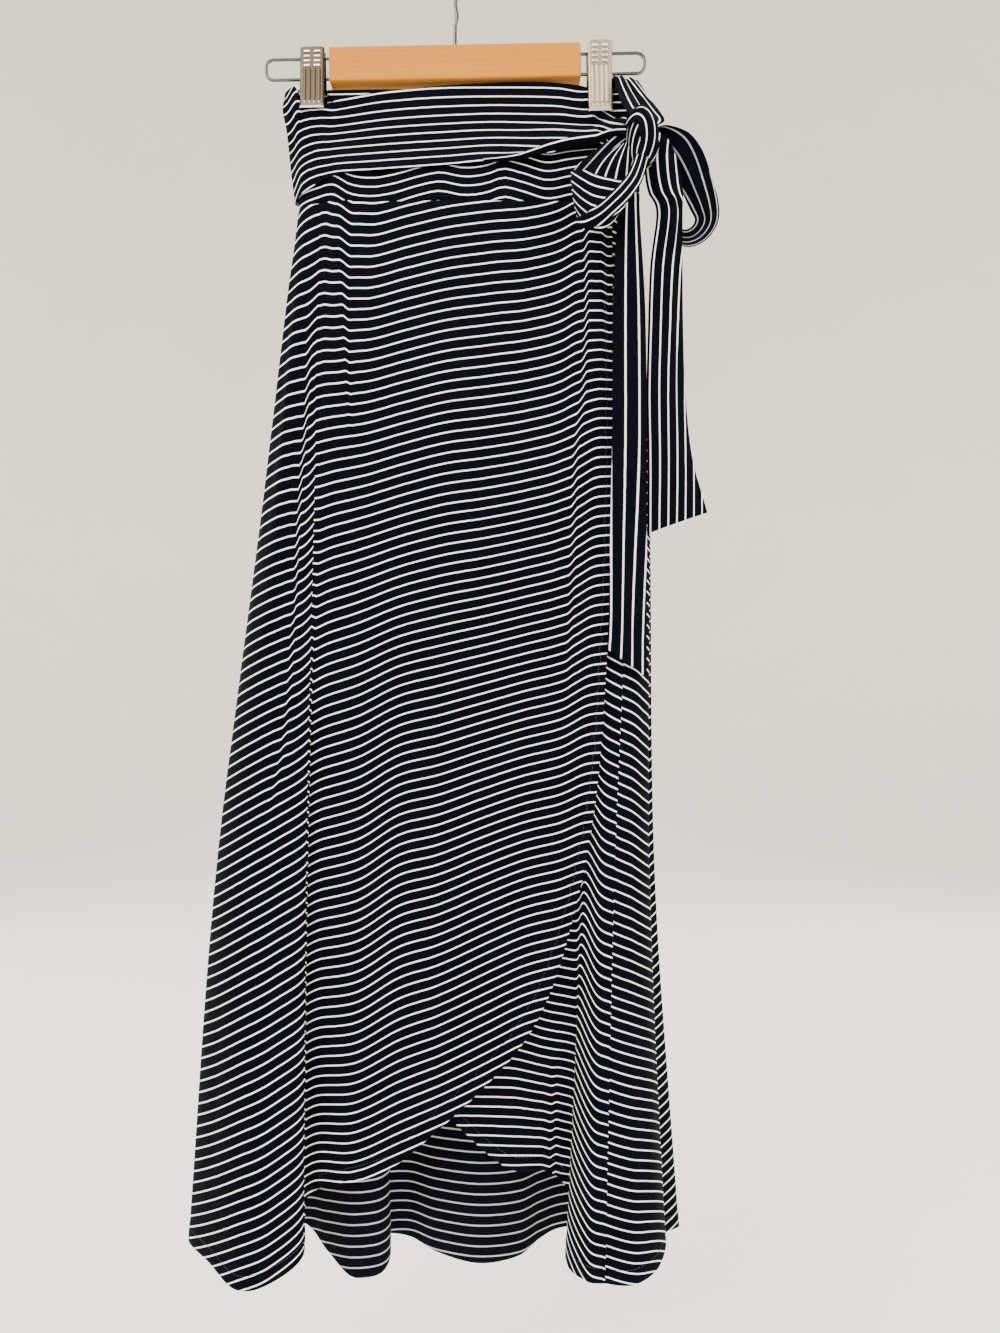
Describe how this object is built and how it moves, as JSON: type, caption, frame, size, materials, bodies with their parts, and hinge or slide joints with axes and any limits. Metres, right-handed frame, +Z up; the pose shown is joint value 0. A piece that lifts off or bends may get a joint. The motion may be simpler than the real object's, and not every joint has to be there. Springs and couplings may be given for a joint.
{
  "type": "wrap skirt on a clip hanger",
  "caption": "Long striped wrap skirt with a curved tulip front, side lobes of the wide back, and a tie wound round the waist to a side bow, held by a wooden clip hanger.",
  "frame": {"origin": "the point of the rail that the hook hangs on, under the top of the hook's inner curve", "axes": "+X to the right as seen from the front, +Y to the back, +Z up; the skirt's wrapped front faces -Y"},
  "size_m": [0.4603, 0.1181, 1.1761],
  "materials": {
    "striped_jersey": "matt navy knit with narrow off-white stripes, drawn in the visual",
    "wood": "satin lacquer",
    "chrome_wire": "polished",
    "clip_metal": "satin nickel"
  },
  "bodies": {
    "root": {"outer_front": "striped_jersey", "under_front": "striped_jersey", "back_panel": "striped_jersey", "waistband": "striped_jersey", "sash_wrap": "striped_jersey", "sash_knot": "striped_jersey", "bow_loop_left": "striped_jersey", "bow_loop_right": "striped_jersey", "sash_tail_long": "striped_jersey", "sash_tail_short": "striped_jersey", "hanger_bar": "wood", "hanger_hook": "chrome_wire", "wire_left": "chrome_wire", "wire_right": "chrome_wire", "clip_left_spring": "chrome_wire", "clip_right_spring": "chrome_wire", "clip_left_front": "clip_metal", "clip_left_back": "clip_metal", "clip_right_front": "clip_metal", "clip_right_back": "clip_metal"}
  },
  "joints": []
}
